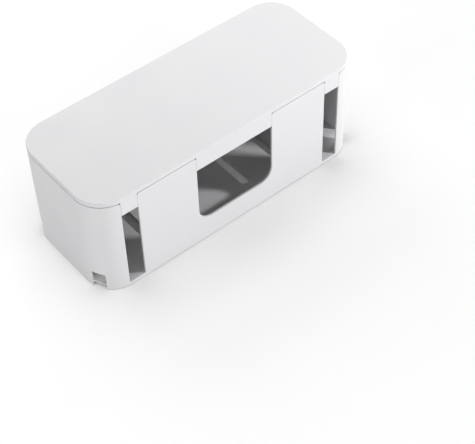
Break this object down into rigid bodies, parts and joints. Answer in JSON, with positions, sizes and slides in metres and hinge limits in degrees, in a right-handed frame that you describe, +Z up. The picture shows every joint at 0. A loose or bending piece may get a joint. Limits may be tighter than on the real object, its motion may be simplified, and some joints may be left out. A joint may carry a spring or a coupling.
{
  "type": "cable management box",
  "caption": "Long rounded box with a lift-off lid, full-height cable slots and a window in the front wall, floor slots and corner notches, for hiding a power strip.",
  "frame": {"origin": "on the supporting surface, under the middle of the box", "axes": "+X along the box, the slotted front wall faces -Y, +Z up through the lid"},
  "size_m": [0.4, 0.162, 0.15],
  "materials": {
    "shell": "fine satin moulded white",
    "cover": "fine satin moulded white",
    "pad": "soft matte grey rubber"
  },
  "bodies": {
    "tub": {"box_body": "shell", "foot_front_left": "pad", "foot_front_right": "pad", "foot_rear_left": "pad", "foot_rear_right": "pad"},
    "cover": {"lid": "cover"}
  },
  "joints": [
    {"name": "lid_lift", "type": "slide", "parent": "tub", "child": "cover", "axis": [0, 0, 1], "range_m": [0, 0.12]}
  ]
}
